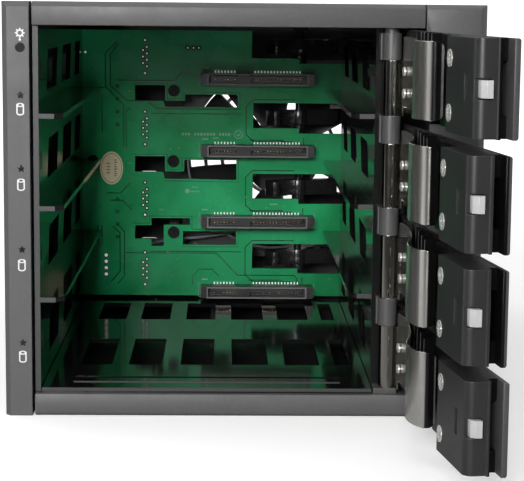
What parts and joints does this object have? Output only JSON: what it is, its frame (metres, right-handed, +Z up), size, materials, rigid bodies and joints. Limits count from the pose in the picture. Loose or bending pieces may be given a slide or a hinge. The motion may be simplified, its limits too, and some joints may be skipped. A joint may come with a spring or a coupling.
{
  "type": "trayless hot-swap drive enclosure",
  "caption": "Trayless hot-swap drive cage with hinged latching doors, hold-down springs, ejectors, a backplane and a rear fan.",
  "frame": {"origin": "centre of the underside of the case, halfway between the bezel face and the rear panel", "axes": "+Z up, +Y from the bezel to the rear panel, +X to the right seen from the front"},
  "size_m": [0.1464, 0.3071, 0.127],
  "materials": {
    "bezel": "satin grey powder coat",
    "case_steel": "black textured powder coat",
    "cage": "glossy black",
    "chrome": "polished",
    "screw": "nickel plated",
    "board": "green solder mask",
    "connector": "black",
    "port_white": "natural nylon",
    "lens": "smoked",
    "cable": "grey",
    "fan": "black",
    "ejector": "black",
    "door_face": "satin grey",
    "door_body": "semi-gloss dark grey",
    "leaf": "polished spring steel",
    "bolt": "white"
  },
  "bodies": {
    "case": {"backplane_board": "board", "base_tray": "case_steel", "bezel_bottom_bar": "bezel", "bezel_left_column": "bezel", "bezel_right_column": "bezel", "bezel_top_bar": "bezel", "board_components": "connector", "board_standoffs": "screw", "cage_floor": "cage", "cage_left_wall": "cage", "cage_right_wall": "cage", "case_screws": "screw", "data_ports": "connector", "drive_sockets": "connector", "ejector_posts": "ejector", "fan_cable": "cable", "fan_frame": "fan", "fan_guard": "chrome", "hinge_knuckles": "bezel", "hinge_pin": "chrome", "indicator_board": "board", "indicator_cable": "cable", "power_ports": "port_white", "rear_panel": "case_steel", "status_lenses": "lens", "top_cover": "case_steel"},
    "fan": {"fan_rotor": "fan"},
    "door_1": {"door_1_front_plate": "door_face", "door_1_body": "door_body", "door_1_spring_leaf": "leaf", "door_1_fasteners": "screw", "door_1_latch_spring": "screw"},
    "latch_1": {"door_1_latch_bolt": "bolt"},
    "ejector_lever_1": {"ejector_1_lever": "ejector"},
    "ejector_link_1": {"ejector_1_link": "ejector"},
    "door_2": {"door_2_front_plate": "door_face", "door_2_body": "door_body", "door_2_spring_leaf": "leaf", "door_2_fasteners": "screw", "door_2_latch_spring": "screw"},
    "latch_2": {"door_2_latch_bolt": "bolt"},
    "ejector_lever_2": {"ejector_2_lever": "ejector"},
    "ejector_link_2": {"ejector_2_link": "ejector"},
    "door_3": {"door_3_front_plate": "door_face", "door_3_body": "door_body", "door_3_spring_leaf": "leaf", "door_3_fasteners": "screw", "door_3_latch_spring": "screw"},
    "latch_3": {"door_3_latch_bolt": "bolt"},
    "ejector_lever_3": {"ejector_3_lever": "ejector"},
    "ejector_link_3": {"ejector_3_link": "ejector"},
    "door_4": {"door_4_front_plate": "door_face", "door_4_body": "door_body", "door_4_spring_leaf": "leaf", "door_4_fasteners": "screw", "door_4_latch_spring": "screw"},
    "latch_4": {"door_4_latch_bolt": "bolt"},
    "ejector_lever_4": {"ejector_4_lever": "ejector"},
    "ejector_link_4": {"ejector_4_link": "ejector"}
  },
  "joints": [
    {"name": "fan_spin", "type": "hinge", "parent": "case", "child": "fan", "pos_m": [0.01685, 0.0884, 0.063], "axis": [0, 1, 0], "continuous": true},
    {"name": "door_1_swing", "type": "hinge", "parent": "case", "child": "door_1", "pos_m": [0.04485, -0.0952, 0.1067], "axis": [0, 0, 1], "range_deg": [-98.3, 4]},
    {"name": "latch_1_slide", "type": "slide", "parent": "door_1", "child": "latch_1", "axis": [-0.1444, 0.9895, 0], "range_m": [0, 0.0026], "stiffness_N_per_m": 150, "springref_m": -0.002, "deforming": ["door_1_latch_spring"]},
    {"name": "ejector_1_push", "type": "slide", "parent": "case", "child": "ejector_link_1", "axis": [0, 1, 0], "range_m": [-0.0087, 0.0005]},
    {"name": "ejector_1_turn", "type": "hinge", "parent": "case", "child": "ejector_lever_1", "pos_m": [0.02385, 0.0694, 0.1095], "axis": [0, 0, 1], "range_deg": [-34.2, 1.8]},
    {"name": "door_2_swing", "type": "hinge", "parent": "case", "child": "door_2", "pos_m": [0.04485, -0.0952, 0.07845], "axis": [0, 0, 1], "range_deg": [-97.6, 4]},
    {"name": "latch_2_slide", "type": "slide", "parent": "door_2", "child": "latch_2", "axis": [-0.1323, 0.9912, 0], "range_m": [0, 0.0026], "stiffness_N_per_m": 150, "springref_m": -0.002, "deforming": ["door_2_latch_spring"]},
    {"name": "ejector_2_push", "type": "slide", "parent": "case", "child": "ejector_link_2", "axis": [0, 1, 0], "range_m": [-0.0087, 0.0005]},
    {"name": "ejector_2_turn", "type": "hinge", "parent": "case", "child": "ejector_lever_2", "pos_m": [0.02385, 0.0694, 0.08125], "axis": [0, 0, 1], "range_deg": [-34.2, 1.8]},
    {"name": "door_3_swing", "type": "hinge", "parent": "case", "child": "door_3", "pos_m": [0.04485, -0.0952, 0.0502], "axis": [0, 0, 1], "range_deg": [-97.6, 4]},
    {"name": "latch_3_slide", "type": "slide", "parent": "door_3", "child": "latch_3", "axis": [-0.1323, 0.9912, 0], "range_m": [0, 0.0026], "stiffness_N_per_m": 150, "springref_m": -0.002, "deforming": ["door_3_latch_spring"]},
    {"name": "ejector_3_push", "type": "slide", "parent": "case", "child": "ejector_link_3", "axis": [0, 1, 0], "range_m": [-0.0087, 0.0005]},
    {"name": "ejector_3_turn", "type": "hinge", "parent": "case", "child": "ejector_lever_3", "pos_m": [0.02385, 0.0694, 0.053], "axis": [0, 0, 1], "range_deg": [-34.2, 1.8]},
    {"name": "door_4_swing", "type": "hinge", "parent": "case", "child": "door_4", "pos_m": [0.04485, -0.0952, 0.02195], "axis": [0, 0, 1], "range_deg": [-98.1, 4]},
    {"name": "latch_4_slide", "type": "slide", "parent": "door_4", "child": "latch_4", "axis": [-0.1409, 0.99, 0], "range_m": [0, 0.0026], "stiffness_N_per_m": 150, "springref_m": -0.002, "deforming": ["door_4_latch_spring"]},
    {"name": "ejector_4_push", "type": "slide", "parent": "case", "child": "ejector_link_4", "axis": [0, 1, 0], "range_m": [-0.0087, 0.0005]},
    {"name": "ejector_4_turn", "type": "hinge", "parent": "case", "child": "ejector_lever_4", "pos_m": [0.02385, 0.0694, 0.02475], "axis": [0, 0, 1], "range_deg": [-34.2, 1.8]}
  ],
  "couplings": [
    {"joint": "ejector_1_push", "follows": "door_1_swing", "m_per_rad": 0.004954},
    {"joint": "ejector_1_turn", "follows": "door_1_swing", "ratio": 0.3431},
    {"joint": "ejector_2_push", "follows": "door_2_swing", "m_per_rad": 0.004954},
    {"joint": "ejector_2_turn", "follows": "door_2_swing", "ratio": 0.3431},
    {"joint": "ejector_3_push", "follows": "door_3_swing", "m_per_rad": 0.004954},
    {"joint": "ejector_3_turn", "follows": "door_3_swing", "ratio": 0.3431},
    {"joint": "ejector_4_push", "follows": "door_4_swing", "m_per_rad": 0.004954},
    {"joint": "ejector_4_turn", "follows": "door_4_swing", "ratio": 0.3431}
  ]
}
